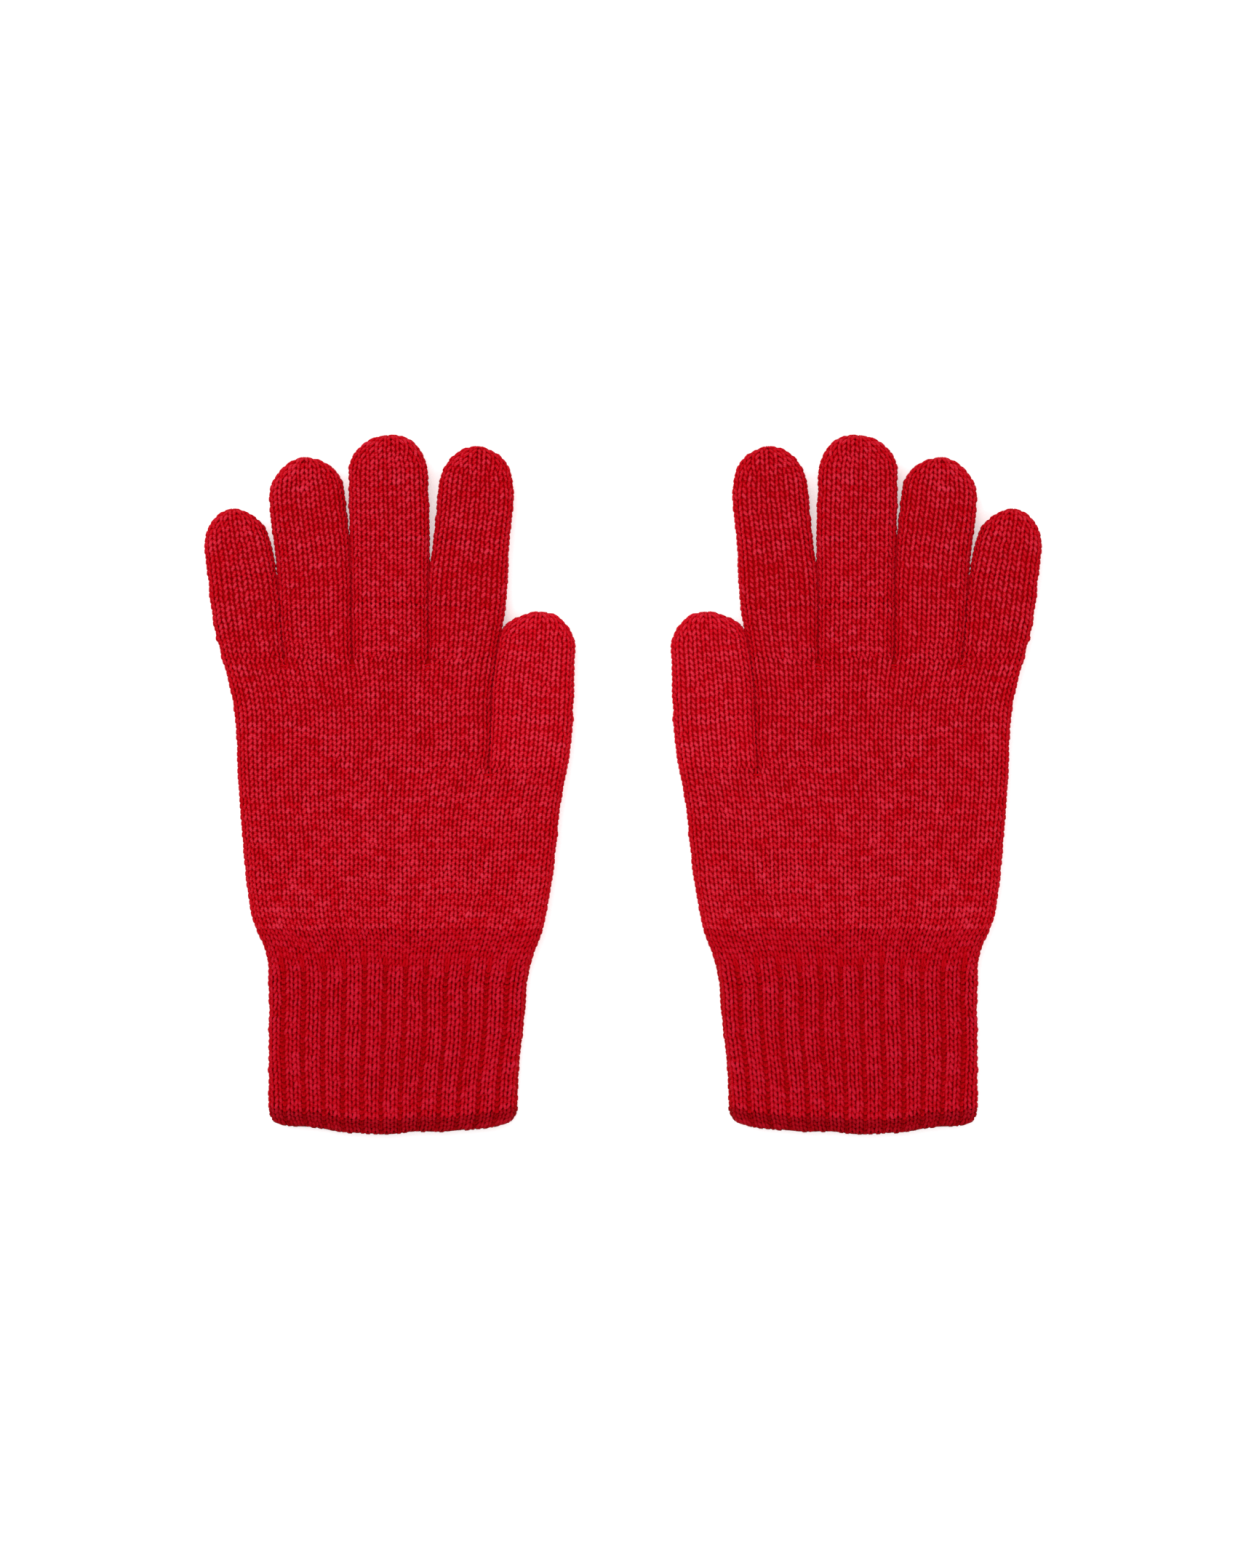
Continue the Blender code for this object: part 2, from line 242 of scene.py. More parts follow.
@dataclass(frozen=True)
class Ease:
    """How the laid fabric wanders: slow waves of its height and of its courses and wales."""

    lift: float = 0.00028
    drift: float = 0.00035

    def apply(self, rows: np.ndarray) -> np.ndarray:
        """Rows with the waves added. They depend only on where a point is, so sections join.

        Args:
            rows: (..., 3) points in the glove's plane.

        Returns:
            The moved points.
        """
        u, v, z = rows[..., 0] * 1000, rows[..., 1] * 1000, rows[..., 2]
        top = smooth((z - 0.004) / 0.003)
        wave = np.sin(u / 7.3 + 1.3 * np.sin(v / 13.0)) * np.sin(v / 9.1 + 0.7 + 0.9 * np.sin(u / 17.0))
        ripple = np.sin(u / 4.1 + v / 6.7 + 0.5) * np.sin(v / 5.3 - u / 11.0)
        moved = rows.copy()
        moved[..., 2] += top * self.lift * (wave + 0.5 * ripple)
        moved[..., 1] += self.drift * (np.sin(u / 6.1 + v / 19.0) + 0.6 * np.sin(u / 2.9 - v / 8.0 + 2.0))
        moved[..., 0] += self.drift * 0.8 * np.sin(v / 7.7 + 1.1) * np.sin(u / 21.0 + 0.4) * top
        return moved


@dataclass(frozen=True)
class Loop:
    """The path of the yarn through one stitch, in shares of the stitch's own width and height."""

    bulge: float = 0.200  # how far the loop's head swells and its feet draw in
    reach: float = 0.74  # from its middle to its head and to its feet
    lean: float = -0.065  # how far its head leans sideways
    depth: float = 0.00056  # how far its legs stand out, and its head and feet lie back
    leg: float = 0.00066  # radius of the yarn in the legs
    back: float = 0.00046  # and where it turns behind
    flatness: float = 0.92
    uneven: float = 0.00012
    swell: float = 0.07  # how uneven its thickness is
    shade: float = 0.05  # how much lighter or darker a stitch may be
    fold_calm: float = 0.55  # how much flatter its legs lie round the fabric's folded edges
    segments: int = 10
    sides: int = 5

    def shifts(self, turn: np.ndarray) -> tuple[np.ndarray, np.ndarray, np.ndarray]:
        """Where the yarn lies within its stitch.

        Args:
            turn: 0 at the loop's head, and half a turn either way at its feet.

        Returns:
            Its shifts along the course and along the wale, in stitches, and its height over the
            middle of the fabric, as a share of depth.
        """
        head = np.cos(turn)
        return self.bulge * np.sin(2 * turn) + self.lean * head, self.reach * head, -np.cos(2 * turn)


@cache
def ring_faces(steps: int, sides: int) -> np.ndarray:
    """The faces of a closed ring, from spinning a small circle.

    Args:
        steps: how many steps the ring has along its length.
        sides: how many sides its cross section has.

    Returns:
        (steps * sides, 4) vertex numbers, where a vertex is step * sides + side.
    """
    ring = bmesh.new()
    start = bmesh.ops.create_circle(ring, segments=sides, radius=0.5)["verts"]
    spots = {vert: round(math.atan2(vert.co.y, vert.co.x) / math.tau * sides) % sides for vert in start}
    for vert, spot in spots.items():
        angle = math.tau * spot / sides
        vert.co = Vector((2 + 0.5 * math.cos(angle), 0, 0.5 * math.sin(angle)))
    geometry = list(ring.verts) + list(ring.edges)
    turn = {"cent": (0, 0, 0), "axis": (0, 0, 1), "angle": math.tau}
    bmesh.ops.spin(ring, geom=geometry, steps=steps, use_merge=True, **turn)
    bmesh.ops.recalc_face_normals(ring, faces=ring.faces)
    numbers = {}
    for vert in ring.verts:
        step = round(math.atan2(vert.co.y, vert.co.x) / math.tau * steps) % steps
        out = math.hypot(vert.co.x, vert.co.y) - 2
        spot = round(math.atan2(vert.co.z, out) / math.tau * sides) % sides
        numbers[vert] = step * sides + spot
    faces = np.array([[numbers[vert] for vert in face.verts] for face in ring.faces])
    ring.free()
    return faces


@dataclass
class MeshData:
    """Vertices and faces of a piece while it is put together, with what its yarn needs."""

    points: list[np.ndarray] = field(default_factory=list)
    faces: list[np.ndarray] = field(default_factory=list)
    strand: list[np.ndarray] = field(default_factory=list)
    relief: list[np.ndarray] = field(default_factory=list)
    count: int = 0

    def add(self, points: np.ndarray, length: np.ndarray, relief: np.ndarray, inward: bool = False) -> None:
        """Adds one closed ring, such as a course of yarn.

        Args:
            points: its vertices, (steps, sides, 3).
            length: how far along the yarn each step is, with one more at the end for the whole ring.
            relief: for each vertex, from 0 deep in the fabric to 1 on its crests, which sets its painted shade and
                painted highlight.
            inward: whether its steps and sides turn the other way round.
        """
        steps, sides = points.shape[:2]
        faces = ring_faces(steps, sides)
        step, spot = faces // sides, faces % sides
        # where the ring closes, a face's corners count on past its last step and its last side
        step = np.where((step.max(1) - step.min(1) > steps // 2)[:, None] & (step == 0), steps, step)
        spot = np.where((spot.max(1) - spot.min(1) > sides // 2)[:, None] & (spot == 0), sides, spot)
        self.points.append(points.reshape(-1, 3))
        self.faces.append((faces[:, ::-1] if inward else faces) + self.count)
        self.strand.append(np.stack([spot / sides, length[step]], -1).reshape(-1, 2))
        self.relief.append(relief)
        self.count += steps * sides

    def build(self, name: str, side: Side) -> bpy.types.Object:
        """Makes the object, in the world.

        Args:
            name: the piece's name.
            side: the glove that it belongs to.

        Returns:
            The object, at the origin.
        """
        points = side.place(np.concatenate(self.points))
        faces = np.concatenate(self.faces)
        strand = np.concatenate(self.strand).reshape(len(faces), 4, 2)
        if side is Side.RIGHT:
            faces, strand = faces[:, ::-1], strand[:, ::-1]
        mesh = bpy.data.meshes.new(name)
        mesh.vertices.add(len(points))
        mesh.vertices.foreach_set("co", points.astype(np.float32).ravel())
        mesh.loops.add(faces.size)
        mesh.loops.foreach_set("vertex_index", faces.astype(np.int32).ravel())
        mesh.polygons.add(len(faces))
        mesh.polygons.foreach_set("loop_start", np.arange(0, faces.size, 4, dtype=np.int32))
        mesh.update(calc_edges=True)
        mesh.polygons.foreach_set("use_smooth", np.ones(len(faces), bool))
        layer = mesh.uv_layers.new(name="strand")
        layer.data.foreach_set("uv", strand.astype(np.float32).ravel())
        relief = mesh.attributes.new("relief", "FLOAT", "POINT")
        relief.data.foreach_set("value", np.concatenate(self.relief).astype(np.float32))
        made = bpy.data.objects.new(name, mesh)
        bpy.context.scene.collection.objects.link(made)
        return made


@dataclass(frozen=True)
class Knit:
    """A fabric of looped courses over a form."""

    loop: Loop
    rib: Rib = Rib.PLAIN
    rib_rise: float = 0.00016  # how far the knit wales of a rib stand out
    rib_sink: float = 0.00038  # how far the wale between them sinks
    rib_knit: float = 1.22  # width of its knit wales, in even wales
    rib_width: float = 0.55  # and how wide the sunken wale spreads
    rib_light: float = 130.0  # how much painted light a rib's raised wales get, and painted shade its sunken wale, for their height
    lining: tuple[float, float] = (-0.00012, -0.00052)  # heights of the felted layer's two faces
    tuck: float = 0.4  # how many courses its ends slip under the next piece's

    def wale(self, place: np.ndarray, ribbed: float) -> tuple[np.ndarray, np.ndarray, np.ndarray]:
        """How a rib moves the loops.

        Args:
            place: how many stitches round, from the first fold.
            ribbed: how far the rib has formed, from 0 to 1.

        Returns:
            The moved place, the height added, and 1 for a plain loop or -1 for a turned one.
        """
        if self.rib is Rib.PLAIN:
            return place, np.zeros_like(place), np.ones_like(place)
        wales = self.rib.value
        repeat = np.floor(place / wales) * wales
        within = place - repeat
        knit = 1 + (self.rib_knit - 1) * ribbed
        moved = repeat + np.interp(within, range(wales + 1), [0, knit, 2 * knit, wales])
        aside = np.abs(within - (wales - 0.5))  # from the middle of the sunken wale
        aside = np.minimum(aside, wales - aside)
        sunk = np.exp(-((aside / self.rib_width) ** 2))
        turned = 1 - 2 * ribbed * smooth(1.5 - 2 * aside)
        return moved, (self.rib_rise - (self.rib_rise + self.rib_sink) * sunk) * ribbed, turned

    def lay(
        self,
        form: Form,
        courses: range,
        wales: "WaleCount",
        seed: int,
        into: MeshData | None = None,
        ribbed: float = 1.0,
        forming: int = 0,
    ) -> MeshData:
        """Lays courses of loops over a form, with the felted layer inside them.

        Args:
            form: what they lie on.
            courses: which of its courses.
            wales: how many stitches each course has, and where they start.
            seed: of the unevenness.
            into: a piece that they are added to, in place of a new one.
            ribbed: how much of the rib's depth is used, from 0 to 1.
            forming: over how many courses a rib forms.

        Returns:
            The piece.
        """
        loop, data = self.loop, into or MeshData()
        for course in courses:
            luck = np.random.default_rng(seed * 1000 + course)
            formed = ribbed * min(1.0, (course - courses.start + 0.5) / (forming + 0.5))
            count, phase = wales.at(form, course + 0.5)
            steps = count * loop.segments
            place = np.arange(steps) / loop.segments
            stitch = np.floor(place).astype(int)
            turn = (place - stitch - 0.5) * math.tau
            along, over, height = loop.shifts(turn)
            held = (1 + np.cos(turn)) / 2
            nudge = luck.normal(0, 1, (count, 3))
            before = nudge[(stitch - 1) % count] * 0.5 + nudge[stitch] * 0.5
            after = nudge[(stitch + 1) % count] * 0.5 + nudge[stitch] * 0.5
            foot = np.where((turn < 0)[:, None], before, after)
            wander = (nudge[stitch] * held[:, None] + foot * (1 - held)[:, None]) * loop.uneven
            moved, rise, turned = self.wale(place + along, formed)
            share = (moved + phase) / count
            points, normals = form.look(course + 0.5 + over, share)
            folded = 1 - loop.fold_calm * (1 - normals[:, 2] ** 2)
            lift = turned * height * loop.depth * folded + rise + wander[:, 2] * folded
            points = points + normals * lift[:, None]
            points[:, :2] += wander[:, :2]
            tangent = tangents(points)
            aside = unit(np.cross(tangent, normals))
            outward = np.cross(aside, tangent)
            thick = loop.back + (loop.leg - loop.back) * np.sin(turn) ** 2
            thick *= 1 + loop.swell * luck.normal(0, 1, count)[stitch]
            angle = (math.tau * (np.arange(loop.sides) / loop.sides) + math.pi / 2)[None, :, None]
            spread = np.cos(angle) * aside[:, None] + loop.flatness * np.sin(angle) * outward[:, None]
            ring = points[:, None] + thick[:, None, None] * spread
            crest = (lift[:, None] + thick[:, None] * np.sin(angle[..., 0])) / SKIN
            strides = np.linalg.norm(np.roll(points, -1, 0) - points, axis=1)
            length = np.concatenate([[0], np.cumsum(strides)]) + luck.uniform(0, 0.01)
            tone = luck.normal(0, loop.shade, 2 * count)[(place * 2).astype(int)]
            # relief sets the painted light: higher yarn is painted lighter (painted highlight), lower yarn darker
            # (painted shade); tone adds the stitches' own random lightness, and the rib's rise adds painted light on
            # raised wales and painted shade in the sunken one
            relief = crest * 0.5 + 0.5 + tone[:, None] + rise[:, None] * self.rib_light
            data.add(ring, length, np.clip(relief.ravel(), 0, 1.2))
        closed = wales.centred and courses.start == 0
        self.line(form, TIP_START if closed else courses.start, courses.stop, wales.full * 2, data)
        return data

    def line(self, form: Form, start: float, end: float, columns: int, data: MeshData) -> None:
        """Adds the felted layer inside the loops, as one closed sleeve, coloured with the painted shade deep between
        the loops.

        Args:
            form: what it lies on.
            start: its first course.
            end: its last course.
            columns: how many faces it has round.
            data: the piece that it is added to.
        """
        rows = max(2, math.ceil(end - start) + 1)
        inner = np.linspace(start, end, rows)[1:-1]
        courses = np.concatenate([[start - self.tuck], inner, [end + self.tuck]])
        sides = 2 * rows
        there_and_back = np.concatenate([courses, courses[::-1]])
        offset = np.where(np.arange(sides) < rows, *self.lining)
        offset[[0, rows - 1]] = sum(self.lining) / 2
        share = np.repeat(np.arange(columns) / columns, sides)
        points, normals = form.look(np.tile(there_and_back, columns), share)
        points = points + normals * np.tile(offset, columns)[:, None]
        length = np.arange(columns + 1) * 0.001
        # a relief of 0.25 paints the layer with the deep painted shade of the hollows between the loops
        data.add(points.reshape(columns, sides, 3), length, np.full(len(points), 0.25), inward=True)


@dataclass(frozen=True)
class WaleCount:
    """How many stitches a course has round it. Fingertips have fewer towards their ends."""

    full: int
    centred: bool = False  # whether wales are counted from the middle of the front, as on a finger
    pitch: float = 0.0  # width of a wale where the count follows the girth

    def at(self, form: Form, course: float) -> tuple[int, float]:
        """The stitches of one course.

        Args:
            form: the fabric's form.
            course: the course.

        Returns:
            Their number, and how far the first is from the start of the form, in stitches.
        """
        count = self.full
        if self.pitch:
            count = min(count, max(4, 2 * round(form.girth_at(course) / self.pitch / 2)))
        return count, (count / 4) % 1.0 - (self.full / 4) % 1.0 if self.centred else 0.0


@dataclass(frozen=True)
class Signal:
    """A value inside a material. Arithmetic on it adds Math nodes."""

    board: "Board"
    socket: bpy.types.NodeSocket

    def __add__(self, other: "Signal | float") -> "Signal":
        """Sum."""
        return self.board.math("ADD", self, other)

    def __sub__(self, other: "Signal | float") -> "Signal":
        """Difference."""
        return self.board.math("SUBTRACT", self, other)

    def __rsub__(self, other: float) -> "Signal":
        """Difference from a number."""
        return self.board.math("SUBTRACT", other, self)

    def __mul__(self, other: "Signal | float") -> "Signal":
        """Product."""
        return self.board.math("MULTIPLY", self, other)

    __radd__, __rmul__ = __add__, __mul__

    def sine(self) -> "Signal":
        """Sine of an angle in radians."""
        return self.board.math("SINE", self)

    def eased(self, low: float, high: float) -> "Signal":
        """0 below low, 1 above high, and smooth between them."""
        node = self.board.add(
            "ShaderNodeMapRange",
            {"interpolation_type": "SMOOTHSTEP"},
            {"Value": self, "From Min": low, "From Max": high},
        )
        return Signal(self.board, node.outputs["Result"])


class Board:
    """The nodes of one material."""

    def __init__(self, name: str) -> None:
        """Makes a material with a Principled BSDF.

        Args:
            name: the material's name.
        """
        self.material = bpy.data.materials.new(name)
        self.material.use_nodes = True
        self.tree = self.material.node_tree

    def add(self, kind: str, settings: dict[str, object], inputs: dict[str | int, object]) -> bpy.types.Node:
        """Adds a node.

        Args:
            kind: its type.
            settings: its own properties.
            inputs: values or signals for its sockets, by name or number.

        Returns:
            The node.
        """
        node = self.tree.nodes.new(kind)
        for key, value in settings.items():
            setattr(node, key, value)
        for key, value in inputs.items():
            self.feed(node.inputs[key], value)
        return node

    def feed(self, socket: bpy.types.NodeSocket, value: object) -> None:
        """Links a signal to a socket, or sets the socket's value."""
        if isinstance(value, Signal):
            self.tree.links.new(value.socket, socket)
        elif isinstance(value, tuple) and len(value) == 3 and socket.type == "RGBA":
            socket.default_value = (*value, 1)
        else:
            socket.default_value = value

    def finish(self, inputs: dict[str, object]) -> bpy.types.Material:
        """Gives the Principled BSDF its inputs.

        Args:
            inputs: values or signals for its sockets, by name.

        Returns:
            The material.
        """
        for key, value in inputs.items():
            self.feed(self.tree.nodes["Principled BSDF"].inputs[key], value)
        return self.material

    def math(self, operation: str, first: Signal | float, second: Signal | float | None = None) -> Signal:
        """A Math node on one or two values."""
        inputs = {0: first} if second is None else {0: first, 1: second}
        return Signal(self, self.add("ShaderNodeMath", {"operation": operation}, inputs).outputs[0])

    def mix(self, share: Signal | float, first: Signal | Colour, second: Signal | Colour) -> Signal:
        """A colour between two colours."""
        node = self.add("ShaderNodeMix", {"data_type": "RGBA"}, {0: share, 6: first, 7: second})
        return Signal(self, node.outputs[2])

    def noise(self, vector: Signal, scale: float, detail: float = 2.0) -> Signal:
        """Soft noise over a vector, from 0 to 1."""
        node = self.add("ShaderNodeTexNoise", {}, {"Vector": vector, "Scale": scale, "Detail": detail})
        return Signal(self, node.outputs["Fac"])


@dataclass(frozen=True)
class Yarn:
    """Soft two-ply yarn, dyed right through, with painted highlight on the crests of its loops and painted shade deep
    between them.
    """

    name: str
    slot: str
    # crest: painted highlight on the loops' crests; face: the yarn's own red; deep: painted shade in the hollows
    # between the loops
    crest: Colour = (0.700, 0.030, 0.064)
    face: Colour = (0.520, 0.0, 0.005)
    deep: Colour = (0.330, 0.0, 0.0)
    roughness: float = 0.62
    twist: float = 0.0012  # length of one turn of the two plies
    fuzz: float = 0.006

    def material(self) -> bpy.types.Material:
        """The yarn's material.

        Returns:
            A material for meshes that have the strand and relief layers.
        """
        board = Board(self.name)
        strand = board.add("ShaderNodeUVMap", {"uv_map": "strand"}, {})
        parts = board.add("ShaderNodeSeparateXYZ", {}, {0: Signal(board, strand.outputs[0])})
        turn, length = Signal(board, parts.outputs[0]), Signal(board, parts.outputs[1])
        relief = Signal(board, board.add("ShaderNodeAttribute", {"attribute_name": "relief"}, {}).outputs["Fac"])
        place = Signal(board, board.add("ShaderNodeTexCoord", {}, {}).outputs["Object"])
        lay = turn * 2.0 + length * (2.0 / self.twist)
        ply = (lay * math.pi).sine()
        ply = ply * ply
        streaks = board.add(
            "ShaderNodeCombineXYZ", {}, {0: lay * 5.0, 1: length * 900.0, 2: board.noise(place, 90.0) * 6.0}
        )
        fibre = board.noise(Signal(board, streaks.outputs[0]), 1.0, 3.0)
        cloud = board.noise(place, 28.0, 2.0)
        # lit sets the painted light and shade: relief gives painted highlight on the crests and painted shade deep
        # between the loops; the ply stripes, the plies' real twist, are painted lighter as glints along their ridges;
        # fibre and cloud noise add the yarn's own uneven tone
        lit = relief + (fibre - 0.5) * 0.35 + (ply - 0.5) * 0.22 + (cloud - 0.5) * 0.03
        # the colour runs from painted shade (deep) through the yarn's own red (face) to painted highlight (crest)
        colour = board.mix(lit.eased(0.18, 0.72), self.deep, self.face)
        colour = board.mix(lit.eased(0.70, 1.22), colour, self.crest)
        height = ply * 0.6 + fibre * 0.5
        bump = board.add("ShaderNodeBump", {}, {"Strength": 0.55, "Distance": 0.00022, "Height": height})
        return board.finish(
            {
                "Base Color": colour,
                "Roughness": 0.5 + fibre * (2 * self.roughness - 1.0),
                "Normal": Signal(board, bump.outputs[0]),
                "Metallic": 0.0,
                "Sheen Weight": self.fuzz,
                "Sheen Roughness": 0.45,
                "Sheen Tint": (1.0, 0.42, 0.50),
                "IOR": 1.45,
                "Specular IOR Level": 0.03,
            }
        )


@dataclass(frozen=True)
class Bend:
    """A joint that fabric crosses: the two bodies, and the points where the bend starts and ends."""

    first: str
    second: str
    start: tuple[float, float]
    end: tuple[float, float]


@dataclass
class Piece:
    """A finished piece of a glove, before it is mirrored for each side."""

    name: str
    data: MeshData
    yarn: Yarn
    nodes: tuple[str, ...]
    body: str = ""
    bend: Bend | None = None

    def make(self, side: Side, materials: dict[str, bpy.types.Material]) -> bpy.types.Object:
        """Makes the piece for one glove and joins it to its body; a piece that crosses a bend is left in the world,
        unjoined.

        Args:
            side: the glove.
            materials: the materials by name.

        Returns:
            The object.
        """
        made = self.data.build(f"{side.word}_{self.name}_loops", side)
        made.data.materials.append(materials[self.yarn.name])
        if self.bend:
            flat = np.array([(*point, FOLD_HEIGHT) for point in (self.bend.start, self.bend.end)])
            ends = [tuple(end) for end in side.place(flat).tolist()]
            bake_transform(made)
        else:
            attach(made, f"{side.word}_{self.body}")
        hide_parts(*[f"{side.word}_{node}" for node in self.nodes])
        LOG.info("%s: %d faces", made.name, len(made.data.polygons))
        return made


def glove_point(joint: str) -> np.ndarray:
    """Where a joint of the left glove lies in the glove's plane."""
    x, y, _ = JOINTS[f"left_{joint}"]["pos_m"]
    return np.array([x + GLOVE_OFFSET, y])


def glove_direction(joint: str) -> np.ndarray:
    """Which way the part beyond a fold of the left glove points, in the glove's plane."""
    x, y, _ = JOINTS[f"left_{joint}"]["axis"]
    return np.array([-y, x]) / math.hypot(x, y)


def fold_bend(joint: str, first: str, second: str, reach: float | None = None) -> Bend:
    """The bend across a fold.

    Args:
        joint: the fold.
        first: the body before it.
        second: the body beyond it.
        reach: how far it bends each side, or None for as far as the thumb's crotch.

    Returns:
        The bend.
    """
    spot, away = glove_point(joint), glove_direction(joint)
    if reach is None:
        reach = (spot - np.array(THUMB_CROTCH)) @ away
    return Bend(first, second, tuple(spot - away * reach), tuple(spot + away * reach))


@dataclass
class FingerTube:
    """A finger or thumb: a tube knitted from its tip to its root."""

    name: str
    sides: tuple[tuple[float, float, float], ...]  # share of its length, little finger's side, thumb's side
    tip: float  # length of its round tip
    stitches: int
    yarn: Yarn
    knit: Knit
    folds: tuple[str, ...]  # its joints, from root to tip
    segments: tuple[str, ...]  # its bodies
    first_fold: float  # from its root to its first fold
    half: float = 0.0042
    rounding: float = 0.0052
    crown: float = 0.0004
    course: float = 0.00200
    pitch: float = 0.00300
    reach: float = 0.0062  # how far each side of a fold the fabric bends
    slant_length: float = 0.014  # over which its root turns to lie along the crotches

    def __post_init__(self) -> None:
        """Reads the tube's line from its folds and its length from its end."""
        last = f"{self.name}_{self.folds[-1]}"
        self.along = glove_direction(last)
        self.across = np.array([self.along[1], -self.along[0]])
        spots = [glove_point(f"{self.name}_{fold}") for fold in self.folds]
        level, back = FINGER_ROOTS, np.linalg.norm(spots[-1] - spots[0]) + self.first_fold
        if self.name == "thumb":
            level, back = THUMB_CROTCH[1], (spots[-1][1] - THUMB_CROTCH[1]) / self.along[1]
        self.root = spots[-1] - self.along * back
        rise = (level - self.root[1]) / self.along[1]
        self.root = self.root + self.along * rise
        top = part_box(f"left_{self.name}_end")[1][1]
        self.length = (top - self.root[1] - self.tip) / self.along[1] + self.tip
        self.places = [(spot - self.root) @ self.along for spot in spots]
        self.places[0] = self.first_fold - rise

    def form(self) -> tuple[Form, int]:
        """The tube's form, from tip to root and one course further.

        Returns:
            The form and its number of courses to the root.
        """
        tip = self.tip - EDGE
        knee = self.length - self.tip
        turn = np.linspace(math.pi / 2, 0, 90)
        body = np.linspace(knee, -self.course, 200)[1:]
        station = np.concatenate([knee + tip * np.sin(turn), body])
        half = np.concatenate([self.half * (1 - np.sin(turn) ** 5) ** 0.5, np.full(len(body), self.half)])
        narrow = np.concatenate([np.cos(turn), np.ones(len(body))])
        places = [row[0] * self.length for row in self.sides]
        edges = [Curve(tuple(zip(places, [row[side] for row in self.sides]))) for side in (1, 2)]
        low, high = EDGE - edges[0].at(station), edges[1].at(station) - EDGE
        meridian = np.concatenate([[0], np.cumsum(np.hypot(np.diff(station), np.diff(half)))])
        courses = round((meridian[-1] - self.course) / self.course)
        at = np.linspace(0, meridian[-1], (courses + 1) * ROWS_PER_COURSE + 1)
        at[0] = meridian[-1] * 1e-3
        rows = []
        for m in at:
            s, h, n, l, r = (np.interp(m, meridian, values) for values in (station, half, narrow, low, high))
            h, w, middle = max(h, 0.0002), max((r - l) / 2 * n, 0.0004), (l + r) / 2
            outline = Section(-w, w, h, min(self.rounding, w), self.crown * h / self.half).outline()
            rows.append(self.lift(s, middle, outline, h))
        return Form(Ease().apply(np.array(rows))), courses

    def lift(self, station: float, middle: float, outline: np.ndarray, half: float) -> np.ndarray:
        """Puts a cross section in its place along the tube.

        Args:
            station: how far from the root.
            middle: how far the section's middle is off the tube's line.
            outline: its points (across, z).
            half: its half thickness.

        Returns:
            Its points (u, v, z). Close to the root its plane turns to lie along the crotches.
        """
        turn = 1 - smooth(station / self.slant_length)
        slant = -self.across[1] / self.along[1] * turn
        across = outline[:, 0] + middle
        flat = self.root + np.outer(station + across * slant, self.along) + np.outer(across, self.across)
        return np.column_stack([flat, outline[:, 1] + (self.half - half)])

    def pieces(self) -> list[Piece]:
        """The tube cut between its folds.

        Returns:
            One piece for each fold, from root to tip.
        """
        form, courses = self.form()
        stations = form.rows[::ROWS_PER_COURSE].mean(1)[:, :2] @ self.along - self.root @ self.along
        wales = WaleCount(self.stitches, centred=True, pitch=self.pitch)
        cuts = [0.0]
        for before, after in zip(self.places, self.places[1:]):
            cuts.append((before + after) / 2)
        cuts.append(self.length + 1)
        made = []
        bodies = ("hand",) + self.segments
        for index, place in enumerate(self.places):
            low, high = cuts[index], cuts[index + 1]
            last = courses if index == 0 else int(np.searchsorted(-stations, -low))
            first = 0 if high > self.length else int(np.searchsorted(-stations, -high))
            data = self.knit.lay(form, range(first, last), wales, hash_of(self.name))
            to_crotch = self.name == "thumb" and index == 0
            reach = None if to_crotch else min(self.reach, place - 0.0006)
            name = bodies[index + 1]
            bend = fold_bend(f"{self.name}_{self.folds[index]}", bodies[index], name, reach)
            made.append(Piece(name, data, self.yarn, (name,), bend=bend))
        return made


def hash_of(word: str) -> int:
    """A small number that is always the same for a word."""
    return sum((index + 3) * ord(letter) for index, letter in enumerate(word)) % 997


# Half widths of the hand and cuff at stations of v, for the hand's two sides and the edge beside the thumb
LITTLE_SIDE = Curve((
    (-0.1250, 0.0442), (-0.0700, 0.0442), (-0.0640, 0.0445), (-0.0577, 0.0458), (-0.0500, 0.0490),
    (-0.0370, 0.0515), (-0.0160, 0.0536), (0.0099, 0.0551), (0.0290, 0.0566), (0.0359, 0.0580),
    (0.0463, 0.0609),
))
THUMB_SIDE = Curve((
    (-0.1250, 0.0450), (-0.1045, 0.0455), (-0.0840, 0.0476), (-0.0700, 0.0487), (-0.0629, 0.0502),
    (-0.0525, 0.0538), (-0.0421, 0.0562), (-0.0265, 0.0585), (-0.0057, 0.0606), (0.0057, 0.0627),
))
CREASE = Curve(((0.0057, 0.0345), (0.0120, 0.0355), (0.0320, 0.0364), (0.0448, 0.0377)))


